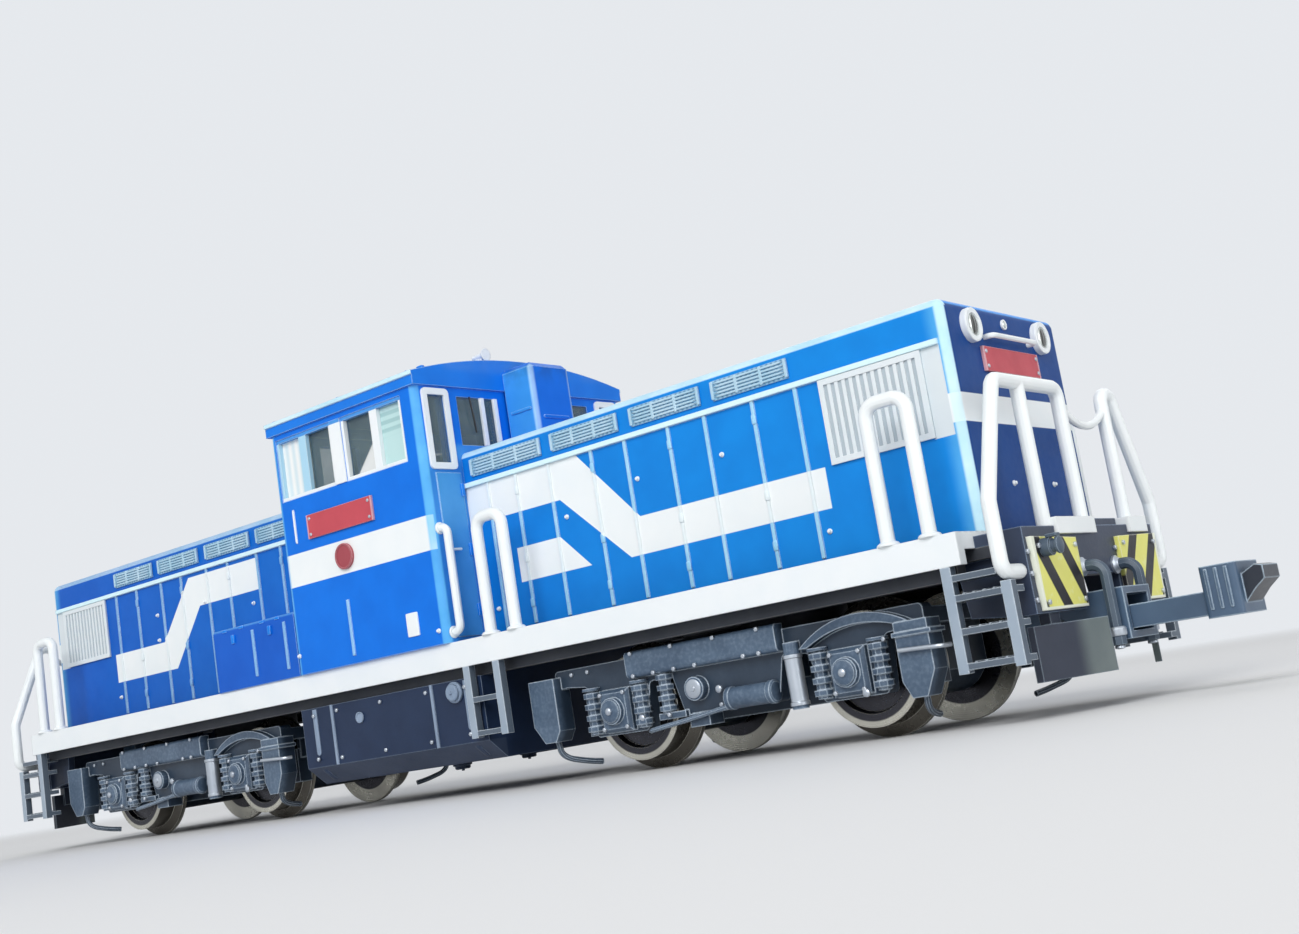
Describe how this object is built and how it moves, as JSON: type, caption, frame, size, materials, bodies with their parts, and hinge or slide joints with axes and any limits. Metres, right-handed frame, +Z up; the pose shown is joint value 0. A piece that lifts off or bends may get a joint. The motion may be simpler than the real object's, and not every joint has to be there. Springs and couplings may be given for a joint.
{
  "type": "model diesel locomotive",
  "caption": "Small scale model of a centre-cab diesel locomotive with long low hoods, a cab, handrails and two swivelling bogies.",
  "frame": {"origin": "on the floor under the middle of the length and width, below the wheel flanges", "axes": "+X towards the front end, along the length; +Z up"},
  "size_m": [0.1002, 0.0192, 0.0269],
  "materials": {
    "body_blue": "satin painted plastic",
    "white_trim": "white painted plastic",
    "grille_grey": "matt grey painted plastic",
    "underframe_black": "matt dark grey plastic",
    "weight_metal": "cast metal, unpainted",
    "wheel_metal": "turned metal, blackened faces",
    "window_clear": "clear moulded plastic",
    "plate_red": "red painted",
    "warning_stripe": "yellow and black stripes",
    "cab_inside": "grey green plastic",
    "lamp_clear": "clear lens"
  },
  "bodies": {
    "locomotive_body": {"bogie_pivots": "weight_metal", "brake_hoses": "underframe_black", "cab_glass": "window_clear", "cab_grab_rails": "white_trim", "cab_interior": "cab_inside", "cab_ladders": "underframe_black", "cab_roof": "body_blue", "cab_step_rails": "white_trim", "cab_walls": "body_blue", "cab_window_frames": "white_trim", "corner_rails": "white_trim", "corner_steps": "underframe_black", "end_plates": "plate_red", "front_coupler_pocket": "underframe_black", "front_end_beam": "underframe_black", "front_end_rails": "white_trim", "front_exhaust": "body_blue", "front_fan_cowl": "grille_grey", "front_grilles": "grille_grey", "front_hood": "body_blue", "front_lamp_lenses": "lamp_clear", "front_lamp_rims": "white_trim", "front_louvres": "grille_grey", "front_warning_plates": "warning_stripe", "front_weight": "weight_metal", "fuel_tank": "underframe_black", "hood_handles": "white_trim", "jumper_sockets": "underframe_black", "ploughs": "underframe_black", "rear_coupler_pocket": "underframe_black", "rear_end_beam": "underframe_black", "rear_end_rails": "white_trim", "rear_exhaust": "body_blue", "rear_fan_cowl": "grille_grey", "rear_grilles": "grille_grey", "rear_hood": "body_blue", "rear_lamp_lenses": "lamp_clear", "rear_lamp_rims": "white_trim", "rear_louvres": "grille_grey", "rear_warning_plates": "warning_stripe", "rear_weight": "weight_metal", "roof_horns": "white_trim", "side_discs": "plate_red", "side_plates": "plate_red", "tool_boxes": "body_blue", "underframe": "weight_metal", "walkway": "white_trim"},
    "front_bogie": {"front_gear_case": "underframe_black", "front_bogie_frame": "underframe_black", "front_brake_shoes": "underframe_black"},
    "rear_bogie": {"rear_gear_case": "underframe_black", "rear_bogie_frame": "underframe_black", "rear_brake_shoes": "underframe_black"},
    "axle_1": {"wheelset_1": "wheel_metal"},
    "axle_2": {"wheelset_2": "wheel_metal"},
    "axle_3": {"wheelset_3": "wheel_metal"},
    "axle_4": {"wheelset_4": "wheel_metal"},
    "front_hook": {"front_coupler_hook": "underframe_black"},
    "rear_hook": {"rear_coupler_hook": "underframe_black"}
  },
  "joints": [
    {"name": "front_bogie_swivel", "type": "hinge", "parent": "locomotive_body", "child": "front_bogie", "pos_m": [0.0244, 0, 0.0059], "axis": [0, 0, 1], "range_deg": [-6, 6]},
    {"name": "rear_bogie_swivel", "type": "hinge", "parent": "locomotive_body", "child": "rear_bogie", "pos_m": [-0.0244, 0, 0.0059], "axis": [0, 0, -1], "range_deg": [-6, 6]},
    {"name": "axle_1_turn", "type": "hinge", "parent": "front_bogie", "child": "axle_1", "pos_m": [0.0319, 0, 0.00347], "axis": [0, 1, 0], "continuous": true},
    {"name": "axle_2_turn", "type": "hinge", "parent": "front_bogie", "child": "axle_2", "pos_m": [0.0169, 0, 0.00347], "axis": [0, 1, 0], "continuous": true},
    {"name": "axle_3_turn", "type": "hinge", "parent": "rear_bogie", "child": "axle_3", "pos_m": [-0.0169, 0, 0.00347], "axis": [0, 1, 0], "continuous": true},
    {"name": "axle_4_turn", "type": "hinge", "parent": "rear_bogie", "child": "axle_4", "pos_m": [-0.0319, 0, 0.00347], "axis": [0, 1, 0], "continuous": true},
    {"name": "front_hook_lift", "type": "hinge", "parent": "locomotive_body", "child": "front_hook", "pos_m": [0.0404, 0, 0.0039], "axis": [0, -1, 0], "range_deg": [0, 6]},
    {"name": "rear_hook_lift", "type": "hinge", "parent": "locomotive_body", "child": "rear_hook", "pos_m": [-0.0404, 0, 0.0039], "axis": [0, 1, 0], "range_deg": [0, 6]}
  ]
}
